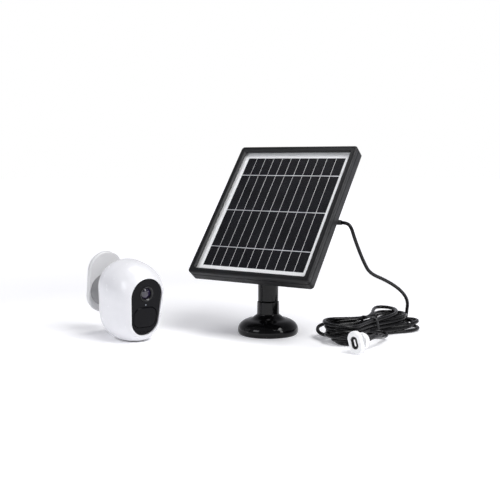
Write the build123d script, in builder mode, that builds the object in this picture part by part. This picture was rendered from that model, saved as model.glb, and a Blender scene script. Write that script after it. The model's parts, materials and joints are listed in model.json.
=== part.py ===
"""Battery security camera on its magnetic wall mount, with the solar panel and stand that charge it.

Millimetres. The origin is on the ground at the centre of the stand's foot, +Z is up, and -Y is the
side that the panel and the camera face. Every piece is a separate solid in its own file.
"""
import os
from math import asin, cos, radians, sin, sqrt, tan

from build123d import *

os.makedirs("parts", exist_ok=True)

# ---------------------------------------------------------------- driving dimensions

# solar panel
panel_yaw = -33.1
panel_tilt = 51.3
pivot_height = 78.9
panel_rise = 55.9  # from the hinge up the slope to the panel's centre
frame_width = 158.8
frame_length = 184.4
frame_depth = 16.0
frame_back = 17.5  # from the hinge axis to the back of the frame
frame_corner = 4.0
pocket_width = 148.4
pocket_length = 174.4
window_width = 143.0
window_length = 169.0
lip_back = 31.2
cell_level = 27.7
cell_length = 156.0  # a full wafer, cut into strips
cell_count = 11
cell_pitch = 12.1
cell_width = 11.4
busbar_spacing = cell_length / 3
glass_thickness = 2.5
cover_level = 18.0
cover_thickness = 2.2
cover_screw_rows = 3
cover_screw_span = (137.0, 165.0)

# stand
post_radius = 11.7
column_radius = 12.6
column_top = 37.5
foot_radius = 35.0
foot_screw_circle = 43.0
foot_screw_radius = 2.2
foot_boss_radius = 4.2
spigot_radius = 9.0
swivel_gap = 0.3
cheek_inner = 6.1
cheek_outer = 11.3
knuckle_half = 5.0
hinge_bolt_radius = 3.0
running_gap = 0.05

# cord
cord_radius = 2.0
gland_end = 80.0  # along the hinge axis, just past the edge of the frame
gland_level = 11.0
hank_centre = (116.0, -14.0)
hank_angle = 32.0

# plug
plug_front = (86.0, -112.0, 12.3)
plug_heading = 230.3
plug_roll = 17.0

# security camera
camera_yaw = 38.8
camera_pitch = 8.0
camera_centre = (-156.5, -27.4, 41.6)
body_half_width = 31.7
body_gap = 32.0  # between the centres of the outline's upper and lower rounds
lower_share = 0.885  # the lower round is a little smaller than the upper one
front_end = 36.5
rear_end = -36.0
seam_at = -20.0
wall = 2.4
pad_height = 1.6
face_radius = 19.5
face_gap = 27.4
face_rise = 2.0
lens_height = 18.0
light_height = 5.6
pir_height = -8.6
pir_width = 29.0
pir_length = 23.0
hole_height = -25.0

# magnetic mount
dome_radius = 19.2
dome_centre_at = -53.4
plate_width = 43.2
plate_length = 72.6
plate_thickness = 5.0
plate_rise = 8.6

pieces = {}

# ---------------------------------------------------------------- frames of reference

yaw = radians(panel_yaw)
tilt = radians(panel_tilt)
across = Vector(cos(yaw), sin(yaw), 0)
outward = Vector(sin(yaw) * sin(tilt), -cos(yaw) * sin(tilt), cos(tilt))
up_slope = outward.cross(across)
pivot = Vector(0, 0, pivot_height)
panel = Plane(origin=pivot + up_slope * panel_rise, x_dir=across, z_dir=outward)
panel_side = Plane(origin=pivot, x_dir=up_slope, z_dir=across)
fork_side = Plane(origin=pivot, x_dir=(-sin(yaw), cos(yaw), 0), z_dir=across)
panel_axis = Axis(panel.origin, outward)

aim = radians(camera_yaw)
pitch = radians(camera_pitch)
forward = Vector(sin(aim) * cos(pitch), -cos(aim) * cos(pitch), -sin(pitch))
sideways = Vector(cos(aim), sin(aim), 0)
camera_up = forward.cross(sideways)
camera = Plane(origin=camera_centre, x_dir=sideways, z_dir=forward)
camera_axis = Axis(camera.origin, forward)
face = Plane(origin=camera.origin + camera_up * face_rise, x_dir=sideways, z_dir=forward)


def panel_back(level):
    """The plane at a level of the panel, seen from behind."""
    return Plane(origin=panel.offset(level).origin, x_dir=across, z_dir=outward * -1)


def camera_point(side, height, ahead):
    """A place in the security camera's own directions, in the row frame."""
    return camera.origin + sideways * side + camera_up * height + forward * ahead


# ---------------------------------------------------------------- solar panel

with BuildPart() as panel_frame:
    with BuildSketch(panel.offset(frame_back)):
        RectangleRounded(frame_width, frame_length, frame_corner)
    extrude(amount=frame_depth)
    fillet(panel_frame.faces().sort_by(panel_axis)[-1].edges(), 1.4)
    chamfer(panel_frame.faces().sort_by(panel_axis)[0].edges(), 0.8)
    with BuildSketch(panel.offset(frame_back)):
        RectangleRounded(pocket_width, pocket_length, 1.5)
    extrude(amount=lip_back - frame_back, mode=Mode.SUBTRACT)
    with BuildSketch(panel.offset(lip_back)):
        RectangleRounded(window_width, window_length, 1.0)
    extrude(amount=frame_back + frame_depth - lip_back, taper=-38, mode=Mode.SUBTRACT)
    # a shadow groove runs round the sides, and another round the front of the lip
    with BuildSketch(panel.offset(27.2)):
        RectangleRounded(frame_width + 2, frame_length + 2, frame_corner)
        RectangleRounded(frame_width - 1.4, frame_length - 1.4, frame_corner - 0.7, mode=Mode.SUBTRACT)
    extrude(amount=0.9, mode=Mode.SUBTRACT)
    with BuildSketch(panel.offset(frame_back + frame_depth - 0.5)):
        RectangleRounded(frame_width - 5.0, frame_length - 5.0, frame_corner - 1.5)
        RectangleRounded(frame_width - 6.2, frame_length - 6.2, frame_corner - 2.1, mode=Mode.SUBTRACT)
    extrude(amount=0.6, mode=Mode.SUBTRACT)
    # bosses for the back cover's screws
    with BuildSketch(panel.offset(cover_level + cover_thickness)):
        with GridLocations(cover_screw_span[0], cover_screw_span[1] / 2, 2, cover_screw_rows):
            Rectangle(12.0, 9.0)
    extrude(amount=6.0)
    with BuildSketch(panel.offset(cover_level + cover_thickness)):
        with GridLocations(cover_screw_span[0], cover_screw_span[1] / 2, 2, cover_screw_rows):
            Circle(1.3)
    extrude(amount=5.5, mode=Mode.SUBTRACT)
pieces["panel_frame"] = panel_frame

with BuildPart() as backsheet:
    with BuildSketch(panel.offset(cell_level - 1.2)):
        RectangleRounded(pocket_width - 0.4, pocket_length - 0.4, 1.3)
    extrude(amount=1.2)
pieces["backsheet"] = backsheet

with BuildPart() as solar_cells:
    with BuildSketch(panel.offset(cell_level)):
        with GridLocations(cell_pitch, 0, cell_count, 1):
            Rectangle(cell_width, cell_length)
    extrude(amount=0.3)
pieces["solar_cells"] = solar_cells

with BuildPart() as busbar_ribbons:
    with BuildSketch(panel.offset(cell_level + 0.3)):
        with GridLocations(0, busbar_spacing, 1, 3):
            Rectangle(cell_pitch * cell_count, 1.0)
    extrude(amount=0.15)
pieces["busbar_ribbons"] = busbar_ribbons

with BuildPart() as panel_glass:
    with BuildSketch(panel.offset(cell_level + 0.5)):
        RectangleRounded(pocket_width - 0.4, pocket_length - 0.4, 1.3)
    extrude(amount=glass_thickness)
pieces["panel_glass"] = panel_glass

with BuildPart() as panel_seal:
    with BuildSketch(panel.offset(cell_level + 0.5 + glass_thickness)):
        RectangleRounded(pocket_width - 0.4, pocket_length - 0.4, 1.3)
        RectangleRounded(window_width + 1, window_length + 1, 1.0, mode=Mode.SUBTRACT)
    extrude(amount=lip_back - cell_level - 0.5 - glass_thickness)
pieces["panel_seal"] = panel_seal

with BuildPart() as back_cover:
    with BuildSketch(panel.offset(cover_level)):
        RectangleRounded(pocket_width - 0.4, pocket_length - 0.4, 1.3)
    extrude(amount=cover_thickness)
    # shallow stiffening channels pressed into the outside, clear of the fittings
    with BuildSketch(panel_back(cover_level)):
        with Locations((0, 76), (0, 62), (0, 48)):
            SlotOverall(104, 4)
    extrude(amount=-0.8, mode=Mode.SUBTRACT)
    with Locations(panel_back(cover_level)):
        with GridLocations(cover_screw_span[0], cover_screw_span[1] / 2, 2, cover_screw_rows):
            CounterSinkHole(radius=1.5, counter_sink_radius=2.8, depth=6)
pieces["back_cover"] = back_cover

with BuildPart() as back_cover_screws:
    with Locations(panel.offset(cover_level)):
        with GridLocations(cover_screw_span[0], cover_screw_span[1] / 2, 2, cover_screw_rows):
            Cone(2.6, 1.2, 1.5, align=(Align.CENTER, Align.CENTER, Align.MIN))
            Cylinder(1.2, 7.0, align=(Align.CENTER, Align.CENTER, Align.MIN))
    with Locations(panel.offset(cover_level)):
        with GridLocations(cover_screw_span[0], cover_screw_span[1] / 2, 2, cover_screw_rows):
            Box(3.0, 0.7, 1.2, mode=Mode.SUBTRACT)
            Box(0.7, 3.0, 1.2, mode=Mode.SUBTRACT)
pieces["back_cover_screws"] = back_cover_screws

# junction box behind the panel, near the edge that the cord leaves
box_left = 22.0
box_right = 64.0
box_centre = (box_left + box_right) / 2
box_width = box_right - box_left
box_length = 38.0
box_outer = 6.5
lid_thickness = 2.0

with BuildPart() as junction_box:
    with BuildSketch(panel.offset(box_outer + lid_thickness)):
        with Locations((box_centre, 0)):
            RectangleRounded(box_width, box_length, 4)
    extrude(amount=cover_level - box_outer - lid_thickness)
    with BuildSketch(panel.offset(box_outer + lid_thickness)):
        with Locations((box_centre, 0)):
            RectangleRounded(box_width - 5, box_length - 5, 2)
    extrude(amount=7.5, mode=Mode.SUBTRACT)
    with BuildSketch(panel.offset(box_outer + lid_thickness)):
        with Locations((box_centre, 0)):
            with GridLocations(box_width - 7, box_length - 7, 2, 2):
                Circle(3.2)
    extrude(amount=7.5)
    with BuildSketch(panel.offset(box_outer + lid_thickness)):
        with Locations((box_centre, 0)):
            with GridLocations(box_width - 7, box_length - 7, 2, 2):
                Circle(1.2)
    extrude(amount=6.5, mode=Mode.SUBTRACT)
    with BuildSketch(Plane(origin=pivot + across * (box_right - 4), x_dir=up_slope, z_dir=across)):
        with Locations((panel_rise, gland_level + 1.2)):
            Circle(2.7)
    extrude(amount=6, mode=Mode.SUBTRACT)
pieces["junction_box"] = junction_box

with BuildPart() as junction_lid:
    with BuildSketch(panel.offset(box_outer)):
        with Locations((box_centre, 0)):
            RectangleRounded(box_width, box_length, 4)
    extrude(amount=lid_thickness)
    chamfer(junction_lid.faces().sort_by(panel_axis)[0].edges(), 0.7)
    with Locations(panel_back(box_outer)):
        with Locations((box_centre, 0)):
            with GridLocations(box_width - 7, box_length - 7, 2, 2):
                CounterSinkHole(radius=1.3, counter_sink_radius=2.4, depth=4)
pieces["junction_lid"] = junction_lid

with BuildPart() as junction_lid_screws:
    with Locations(panel.offset(box_outer)):
        with Locations((box_centre, 0)):
            with GridLocations(box_width - 7, box_length - 7, 2, 2):
                Cone(2.2, 1.1, 1.2, align=(Align.CENTER, Align.CENTER, Align.MIN))
                Cylinder(1.1, 7.0, align=(Align.CENTER, Align.CENTER, Align.MIN))
                Box(2.6, 0.6, 1.0, mode=Mode.SUBTRACT)
pieces["junction_lid_screws"] = junction_lid_screws

with BuildPart() as junction_board:
    with BuildSketch(panel.offset(box_outer + lid_thickness + 4.5)):
        with Locations((box_centre, 0)):
            Rectangle(box_width - 16, box_length - 8)
    extrude(amount=1.5)
    with BuildSketch(panel.offset(box_outer + lid_thickness + 1.5)):
        with Locations((box_centre - 6, 5), (box_centre - 6, -5), (box_centre + 5, 0)):
            Rectangle(6, 4)
    extrude(amount=3.0)
pieces["junction_board"] = junction_board

gland_plane = Plane(
    origin=pivot + across * box_right + up_slope * panel_rise + outward * (gland_level + 1.2),
    x_dir=up_slope,
    z_dir=across,
)
gland_mouth = Plane(
    origin=pivot + across * gland_end + up_slope * panel_rise + outward * gland_level,
    x_dir=up_slope,
    z_dir=across,
)

with BuildPart() as cord_gland:
    with BuildSketch(gland_plane):
        RegularPolygon(4.6, 6)
    extrude(amount=3.5)
    with BuildSketch(gland_plane):
        Circle(2.5)
    extrude(amount=-3.5)
    gland_cone = [
        gland_plane.offset(3.5),
        Plane(origin=gland_plane.origin + across * 7.5, x_dir=up_slope, z_dir=across),
        gland_mouth,
    ]
    with BuildSketch(gland_cone[0], gland_cone[1]):
        Circle(3.7)
    loft()
    with BuildSketch(gland_cone[1]):
        Circle(3.5)
    with BuildSketch(gland_cone[2]):
        Circle(cord_radius + 0.6)
    loft()
pieces["cord_gland"] = cord_gland

# ---------------------------------------------------------------- hinge between panel and post

with BuildPart() as panel_bracket:
    with BuildSketch(panel.offset(cover_level - 4)):
        with Locations((0, -panel_rise + 2)):
            RectangleRounded(44, 46, 5)
    extrude(amount=4)
    chamfer(panel_bracket.faces().sort_by(panel_axis)[0].edges(), 1.0)
    with BuildSketch(panel_side.offset(-knuckle_half)):
        Circle(9)
        Polygon((-9, 0), (9, 0), (15, cover_level - 3), (-13, cover_level - 3), align=None)
    extrude(amount=2 * knuckle_half)
    with BuildSketch(panel_side.offset(-knuckle_half)):
        Circle(hinge_bolt_radius + running_gap)
    extrude(amount=2 * knuckle_half, mode=Mode.SUBTRACT)
    with Locations(panel_back(cover_level - 4)):
        with Locations((0, panel_rise - 2)):
            with GridLocations(34, 36, 2, 2):
                CounterSinkHole(radius=1.8, counter_sink_radius=3.3, depth=8)
pieces["panel_bracket"] = panel_bracket

with BuildPart() as bracket_screws:
    with Locations(panel.offset(cover_level - 4)):
        with Locations((0, -panel_rise + 2)):
            with GridLocations(34, 36, 2, 2):
                Cone(3.1, 1.5, 1.8, align=(Align.CENTER, Align.CENTER, Align.MIN))
                Cylinder(1.5, 6.1, align=(Align.CENTER, Align.CENTER, Align.MIN))
                Box(3.6, 0.8, 1.4, mode=Mode.SUBTRACT)
                Box(0.8, 3.6, 1.4, mode=Mode.SUBTRACT)
pieces["bracket_screws"] = bracket_screws

# the cover is drilled for the bracket's screws
with BuildPart() as drilled_cover:
    add(back_cover.part)
    with Locations(panel.offset(cover_level)):
        with Locations((0, -panel_rise + 2)):
            with GridLocations(34, 36, 2, 2):
                Cylinder(1.6, 2 * cover_thickness + 1, mode=Mode.SUBTRACT)
pieces["back_cover"] = drilled_cover

fork_base = 61.5

with BuildPart() as post:
    with BuildSketch(Plane.XY.offset(column_top + 0.4)):
        Circle(post_radius)
    extrude(amount=fork_base - column_top - 0.4)
    chamfer(post.faces().sort_by(Axis.Z)[0].edges(), 0.6)
    with BuildSketch(Plane.XY.offset(24.0)):
        Circle(spigot_radius)
    extrude(amount=column_top + 0.4 - 24.0)
    with BuildSketch(fork_side.offset(cheek_inner), fork_side.offset(-cheek_outer)):
        Circle(10.6)
        with Locations((0, (fork_base - pivot_height) / 2)):
            Rectangle(21.2, pivot_height - fork_base)
    extrude(amount=cheek_outer - cheek_inner)
    # the cheeks are trimmed to the post's own round below the hinge
    with BuildSketch(Plane.XY.offset(fork_base)):
        Circle(40)
        Circle(post_radius, mode=Mode.SUBTRACT)
    extrude(amount=pivot_height - fork_base + 30, mode=Mode.SUBTRACT)
    with BuildSketch(fork_side.offset(-40)):
        Circle(hinge_bolt_radius + running_gap)
    extrude(amount=80, mode=Mode.SUBTRACT)
    with BuildSketch(fork_side.offset(-cheek_outer)):
        RegularPolygon(5.9, 6)
    extrude(amount=2.8, mode=Mode.SUBTRACT)
    # blind hole for the swivel screw
    with BuildSketch(Plane.XY.offset(22.0)):
        Circle(2.5)
    extrude(amount=14, mode=Mode.SUBTRACT)
pieces["post"] = post

# friction washers on both sides of the knuckle, one under the knob and one under the swivel screw
with BuildPart() as washers:
    with BuildSketch(fork_side.offset(knuckle_half + 0.1), fork_side.offset(-cheek_inner)):
        Circle(8.4)
        Circle(hinge_bolt_radius + 0.35, mode=Mode.SUBTRACT)
    extrude(amount=cheek_inner - knuckle_half - 0.1)
    with BuildSketch(fork_side.offset(cheek_outer)):
        Circle(6.5)
        Circle(hinge_bolt_radius + 0.35, mode=Mode.SUBTRACT)
    extrude(amount=1.0)
    with BuildSketch(Plane.XY.offset(14.6)):
        Circle(7.5)
        Circle(2.9, mode=Mode.SUBTRACT)
    extrude(amount=1.3)
pieces["washers"] = washers

with BuildPart() as hinge_nut:
    with BuildSketch(fork_side.offset(-cheek_outer - 2.2)):
        RegularPolygon(5.7, 6)
        Circle(hinge_bolt_radius + running_gap, mode=Mode.SUBTRACT)
    extrude(amount=5.0)
pieces["hinge_nut"] = hinge_nut

knob_start = cheek_outer + 1.1
knob_length = 9.0

with BuildPart() as hinge_bolt:
    with BuildSketch(fork_side.offset(-cheek_outer - 3.6)):
        Circle(hinge_bolt_radius)
    extrude(amount=cheek_outer + 3.6 + knob_start + 6.0)
    chamfer(hinge_bolt.edges().sort_by(Axis(pivot, across))[0], 0.5)
pieces["hinge_bolt"] = hinge_bolt

with BuildPart() as tilt_knob:
    with BuildSketch(fork_side.offset(knob_start)):
        Circle(8.6)
        with PolarLocations(8.2, 6):
            Circle(2.4)
    extrude(amount=knob_length)
    with BuildSketch(fork_side.offset(knob_start)):
        Circle(5.6)
        Circle(hinge_bolt_radius + running_gap, mode=Mode.SUBTRACT)
    extrude(amount=0.05)
    fillet(tilt_knob.faces().sort_by(Axis(pivot, across))[-1].edges(), 1.0)
    with BuildSketch(fork_side.offset(knob_start)):
        Circle(hinge_bolt_radius)
    extrude(amount=6.0, mode=Mode.SUBTRACT)
pieces["tilt_knob"] = tilt_knob

# ---------------------------------------------------------------- foot

with BuildPart() as foot:
    with BuildSketch(Plane.XZ):
        with BuildLine():
            ThreePointArc((33.4, 0), (34.55, 1.9), (foot_radius, 4.6))
            Spline(
                (foot_radius, 4.6),
                (32.4, 11.6),
                (26.0, 15.9),
                (18.0, 18.6),
                (14.0, 21.6),
                (12.75, 27.0),
                tangents=((0, 1), (0, 1)),
            )
            Polyline(
                (12.75, 27.0),
                (column_radius, column_top - 0.8),
                (column_radius - 0.8, column_top),
                (spigot_radius + swivel_gap, column_top),
                (spigot_radius + swivel_gap, 22.0),
                (2.8, 22.0),
                (2.8, 16.0),
                (10.0, 16.0),
                (20.0, 13.6),
                (28.5, 9.5),
                (29.5, 2.5),
                (31.6, 2.5),
                (31.6, 0),
                (33.4, 0),
            )
        make_face()
    revolve(axis=Axis.Z)
    # bosses round the screws, down to the ground
    with BuildSketch(Plane.XY):
        with PolarLocations(foot_screw_circle / 2, 3, start_angle=30):
            Circle(foot_boss_radius)
    extrude(amount=14.0)
    with Locations(Plane.XY.offset(17.6)):
        with PolarLocations(foot_screw_circle / 2, 3, start_angle=30):
            CounterSinkHole(radius=foot_screw_radius, counter_sink_radius=4.7, depth=20)
pieces["foot"] = foot

with BuildPart() as foot_pad:
    with BuildSketch(Plane.XY):
        Circle(31.4)
        Circle(26.0, mode=Mode.SUBTRACT)
    extrude(amount=2.5)
pieces["foot_pad"] = foot_pad

with BuildPart() as swivel_screw:
    with BuildSketch(Plane.XY.offset(11.4)):
        Circle(4.6)
        RegularPolygon(2.3, 6, mode=Mode.SUBTRACT)
    extrude(amount=2.0)
    with BuildSketch(Plane.XY.offset(13.4)):
        Circle(4.6)
    extrude(amount=1.2)
    with BuildSketch(Plane.XY.offset(14.6)):
        Circle(2.5)
    extrude(amount=19.4)
pieces["swivel_screw"] = swivel_screw

# ---------------------------------------------------------------- cord, hank and plug

def corner_radii(route):
    """An arc for each corner of a route, as large as its two runs allow."""
    radii = []
    for before, corner, after in zip(route, route[1:], route[2:]):
        arriving = Vector(*corner) - Vector(*before)
        leaving = Vector(*after) - Vector(*corner)
        turn = radians(arriving.get_angle(leaving))
        radii.append(0.45 * min(arriving.length, leaving.length) / tan(turn / 2))
    return radii


lead_start = gland_mouth.origin
lead_route = [
    tuple(lead_start),
    tuple(lead_start + across * 7.0),
    (91.6, -27.9, 124.2),
    (94.6, -28.6, 114.0),
    (100.0, -24.5, 100.5),
    (107.3, -16.5, 84.5),
    (115.5, -8.5, 70.5),
    (137.0, 11.0, 60.0),
    (156.5, 28.0, 47.0),
    (169.0, 40.5, 32.0),
    (168.0, 44.5, 12.0),
]
print("lead radii", [round(radius, 1) for radius in corner_radii(lead_route)])

with BuildPart() as cord_lead:
    with BuildLine() as lead_path:
        FilletPolyline(*lead_route, radius=corner_radii(lead_route))
    with BuildSketch(Plane(origin=lead_path.line @ 0, z_dir=lead_path.line % 0)):
        Circle(cord_radius)
    sweep()
pieces["cord_lead"] = cord_lead
print("lead length", round(lead_path.wires()[0].length, 1))

hank = Plane(origin=(*hank_centre, 0), x_dir=(cos(radians(hank_angle)), sin(radians(hank_angle)), 0))
# each station: along the hank, its centre line's offset, half width, lowest and highest
hank_stations = [
    (-70, 0, 14, 0.0, 9.0),
    (-58, 0, 32, 0.0, 20.0),
    (-40, 0, 36, 0.0, 24.0),
    (-18, 0, 21, 0.6, 24.5),
    (0, 0, 12, 1.8, 23.5),
    (18, 2, 18, 0.6, 24.5),
    (42, 8, 28, 0.0, 25.0),
    (62, 13, 28, 0.0, 20.0),
    (78, 14, 13, 0.0, 9.0),
]

with BuildPart() as cord_hank:
    for along, offset_by, half, low, high in hank_stations:
        section = Plane(
            origin=hank.from_local_coords((along, offset_by, (low + high) / 2)),
            x_dir=hank.y_dir,
            z_dir=hank.x_dir,
        )
        with BuildSketch(section):
            RectangleRounded(2 * half, high - low, 4.0)
    loft(ruled=True)
pieces["cord_hank"] = cord_hank

with BuildPart() as hank_tie:
    with BuildSketch(Plane(origin=hank.from_local_coords((1, 0, 12.6)), x_dir=hank.y_dir, z_dir=hank.x_dir)):
        RectangleRounded(28.0, 24.4, 5)
        RectangleRounded(25.2, 21.6, 4, mode=Mode.SUBTRACT)
    extrude(amount=6)
pieces["hank_tie"] = hank_tie

heading = radians(plug_heading)
plug_out = Vector(cos(heading), sin(heading), 0)
plug_side = Vector(-sin(heading), cos(heading), 0)
rolled_side = plug_side * cos(radians(plug_roll)) + Vector(0, 0, 1) * sin(radians(plug_roll))
plug_plane = Plane(origin=plug_front, x_dir=rolled_side, z_dir=plug_out)
plug_axis = Axis(plug_front, plug_out)

with BuildPart() as plug_shell:
    with BuildSketch(plug_plane):
        RectangleRounded(16.0, 24.4, 7.9)
    extrude(amount=-6.0)
    fillet(plug_shell.faces().sort_by(plug_axis)[-1].edges(), 1.8)
    fillet(plug_shell.faces().sort_by(plug_axis)[0].edges(), 1.4)
    with BuildSketch(plug_plane.offset(-5.0)):
        RectangleRounded(10.5, 16.0, 5.0)
    extrude(amount=-5.0)
    with BuildSketch(plug_plane.offset(-8.6)):
        Circle(8.9)
    extrude(amount=-9.4)
    fillet(plug_shell.faces().sort_by(plug_axis)[0].edges(), 3.4)
    with BuildSketch(plug_plane):
        RectangleRounded(8.0, 13.4, 3.9)
    extrude(amount=-8.0, mode=Mode.SUBTRACT)
    with BuildSketch(plug_plane.offset(-16.0)):
        Circle(3.6)
    extrude(amount=-4.0, mode=Mode.SUBTRACT)
pieces["plug_shell"] = plug_shell

with BuildPart() as plug_insert:
    with BuildSketch(plug_plane.offset(-8.0)):
        RectangleRounded(7.8, 13.2, 3.8)
    extrude(amount=7.2)
    with BuildSketch(plug_plane.offset(-0.8)):
        RectangleRounded(5.4, 10.6, 2.6)
    extrude(amount=-5.6, mode=Mode.SUBTRACT)
pieces["plug_insert"] = plug_insert

with BuildPart() as plug_contact:
    with BuildSketch(plug_plane.offset(-6.4)):
        Rectangle(1.8, 7.0)
    extrude(amount=5.2)
pieces["plug_contact"] = plug_contact

relief_length = 15.0
relief_end = plug_plane.offset(-16.0 - relief_length)

with BuildPart() as plug_relief:
    with BuildSketch(plug_plane.offset(-16.0)):
        Circle(3.4)
    with BuildSketch(relief_end):
        Circle(cord_radius + 0.5)
    loft()
    for step in (4.6, 7.6, 10.6):
        with BuildSketch(plug_plane.offset(-16.0 - step)):
            Circle(4)
            Circle(2.35, mode=Mode.SUBTRACT)
        extrude(amount=-1.2, mode=Mode.SUBTRACT)
pieces["plug_relief"] = plug_relief

tail_start = relief_end.origin
tail_route = [
    tuple(tail_start),
    tuple(tail_start - plug_out * 9.0),
    (121.0, -63.5, 8.0),
    (125.0, -50.0, 5.4),
    (122.5, -37.0, 6.6),
    (118.5, -27.5, 8.5),
]
print("tail radii", [round(radius, 1) for radius in corner_radii(tail_route)])

with BuildPart() as cord_tail:
    with BuildLine() as tail_path:
        FilletPolyline(*tail_route, radius=corner_radii(tail_route))
    with BuildSketch(Plane(origin=tail_path.line @ 0, z_dir=tail_path.line % 0)):
        Circle(cord_radius)
    sweep()
pieces["cord_tail"] = cord_tail
print("tail length", round(tail_path.wires()[0].length, 1))

# ---------------------------------------------------------------- security camera body


def half_width(ahead):
    """The body's half width at a distance ahead of its centre: blunt in front, rounder behind."""
    reach, power = (45.0, 2.6) if ahead > 0 else (39.0, 2.4)
    return body_half_width * sqrt(1 - (abs(ahead) / reach) ** power)


def outline(plane, upper, gap):
    """An upright egg outline: a round, and a slightly smaller round below it, joined by tangents."""
    lower = upper * lower_share
    lean = asin((upper - lower) / gap)
    upper_joint = (upper * cos(lean), gap / 2 - upper * sin(lean))
    lower_joint = (lower * cos(lean), -gap / 2 - lower * sin(lean))
    with BuildSketch(plane) as egg:
        with BuildLine():
            ThreePointArc(upper_joint, (0, gap / 2 + upper), (-upper_joint[0], upper_joint[1]))
            Line((-upper_joint[0], upper_joint[1]), (-lower_joint[0], lower_joint[1]))
            ThreePointArc((-lower_joint[0], lower_joint[1]), (0, -gap / 2 - lower), lower_joint)
            Line(lower_joint, upper_joint)
        make_face()
    return egg.sketch


def body_section(ahead, inset=0.0):
    """The body's outline at one distance ahead of its centre, drawn in by an inset."""
    width = half_width(ahead)
    gap = body_gap * (0.6 + 0.4 * width / body_half_width)
    return outline(camera.offset(ahead), width - inset, gap)


outer_stations = [rear_end, -34, -30.5, -26, -19, -10, 0, 10, 19, 26, 31, 34.5, front_end]
inner_stations = [-28, -25, -19, -10, 0, 10, 19, 25, 30.5]

with BuildPart() as body_outer:
    loft([body_section(ahead) for ahead in outer_stations])

with BuildPart() as body_inner:
    loft([body_section(ahead, wall) for ahead in inner_stations])
    with Locations((camera_centre[0], camera_centre[1], pad_height + wall)):
        Box(120, 120, 40, align=(Align.CENTER, Align.CENTER, Align.MAX), mode=Mode.SUBTRACT)

port_normal = (camera_up * -0.76 + forward * -0.65).normalized()
port_plane = Plane(origin=camera_point(0, -36.0, -27), x_dir=sideways, z_dir=port_normal)
button_normal = (camera_up * 0.73 + forward * -0.68).normalized()
button_plane = Plane(origin=camera_point(0, 38.8, -27), x_dir=sideways, z_dir=button_normal)
port_facet = -1.2
button_radius = 4.4

with BuildPart() as hollow_body:
    add(body_outer.part)
    add(body_inner.part, mode=Mode.SUBTRACT)
    # seat for the face window, and the opening behind it
    extrude(outline(face.offset(33.2), face_radius, face_gap), amount=6, mode=Mode.SUBTRACT)
    extrude(outline(face.offset(29.0), face_radius - 2.6, face_gap), amount=6, mode=Mode.SUBTRACT)
    # dish that rides on the magnetic dome
    with Locations(camera.offset(dome_centre_at)):
        Sphere(dome_radius + 1.2, mode=Mode.SUBTRACT)
    # the flat that it stands on
    with Locations((camera_centre[0], camera_centre[1], pad_height)):
        Box(120, 120, 20, align=(Align.CENTER, Align.CENTER, Align.MAX), mode=Mode.SUBTRACT)
    # facet and slot of the charging port, low on the back
    with BuildSketch(port_plane.offset(port_facet)):
        Rectangle(30, 24)
    extrude(amount=8, mode=Mode.SUBTRACT)
    with BuildSketch(port_plane.offset(port_facet)):
        RectangleRounded(9.0, 4.4, 2.0)
    extrude(amount=-8, mode=Mode.SUBTRACT)
    # hole of the power button, high on the back
    with BuildSketch(button_plane.offset(6)):
        Circle(button_radius + 0.3)
    extrude(amount=-14, mode=Mode.SUBTRACT)

with BuildPart() as front_shell:
    add(hollow_body.part)
    split(bisect_by=camera.offset(seam_at + 0.1), keep=Keep.TOP)
pieces["front_shell"] = front_shell

with BuildPart() as rear_shell:
    add(hollow_body.part)
    split(bisect_by=camera.offset(seam_at - 0.1), keep=Keep.BOTTOM)
    with BuildSketch(camera.offset(-28)):
        with Locations((0, -20)):
            with GridLocations(3.4, 3.4, 3, 3):
                Circle(0.7)
    extrude(amount=-14, mode=Mode.SUBTRACT)
pieces["rear_shell"] = rear_shell

# the rubber pad fills the flat under the body, just inside its edge
with BuildPart() as base_pad:
    add(body_outer.part)
    with Locations((camera_centre[0], camera_centre[1], pad_height)):
        Box(120, 120, 120, align=(Align.CENTER, Align.CENTER, Align.MIN), mode=Mode.SUBTRACT)
    with Locations((camera_centre[0], camera_centre[1], 0)):
        Box(120, 120, 20, align=(Align.CENTER, Align.CENTER, Align.MAX), mode=Mode.SUBTRACT)
pieces["base_pad"] = base_pad

# ---------------------------------------------------------------- camera face

face_thickness = 2.0

with BuildPart() as face_window:
    extrude(outline(face.offset(33.3), face_radius - 0.15, face_gap), amount=face_thickness)
    chamfer(face_window.faces().sort_by(camera_axis)[-1].edges(), 0.9)
    with BuildSketch(camera.offset(32)):
        with Locations((0, lens_height)):
            Circle(8.3)
    extrude(amount=6, mode=Mode.SUBTRACT)
    with BuildSketch(camera.offset(32)):
        with Locations((0, pir_height)):
            RectangleRounded(pir_width + 0.4, pir_length + 0.4, 9.0)
    extrude(amount=6, mode=Mode.SUBTRACT)
    with BuildSketch(camera.offset(32)):
        with Locations((-4.5, hole_height), (0, hole_height), (4.5, hole_height)):
            Circle(0.7)
        with Locations((0, light_height)):
            Circle(0.9)
    extrude(amount=6, mode=Mode.SUBTRACT)
pieces["face_window"] = face_window

with BuildPart() as lens_ring:
    with BuildSketch(camera.offset(32.6)):
        with Locations((0, lens_height)):
            Circle(8.1)
            Circle(6.4, mode=Mode.SUBTRACT)
    extrude(amount=3.4)
    chamfer(lens_ring.faces().sort_by(camera_axis)[-1].edges().sort_by(SortBy.RADIUS)[0], 0.9)
pieces["lens_ring"] = lens_ring

with BuildPart() as lens_barrel:
    with BuildSketch(camera.offset(22.0)):
        with Locations((0, lens_height)):
            Circle(6.2)
    extrude(amount=10.9)
    with BuildSketch(camera.offset(24.0)):
        with Locations((0, lens_height)):
            Circle(4.4)
    extrude(amount=9, mode=Mode.SUBTRACT)
    with BuildSketch(camera.offset(22.0)):
        with Locations((0, lens_height)):
            Rectangle(14, 14)
    extrude(amount=2.6)
pieces["lens_barrel"] = lens_barrel

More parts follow.
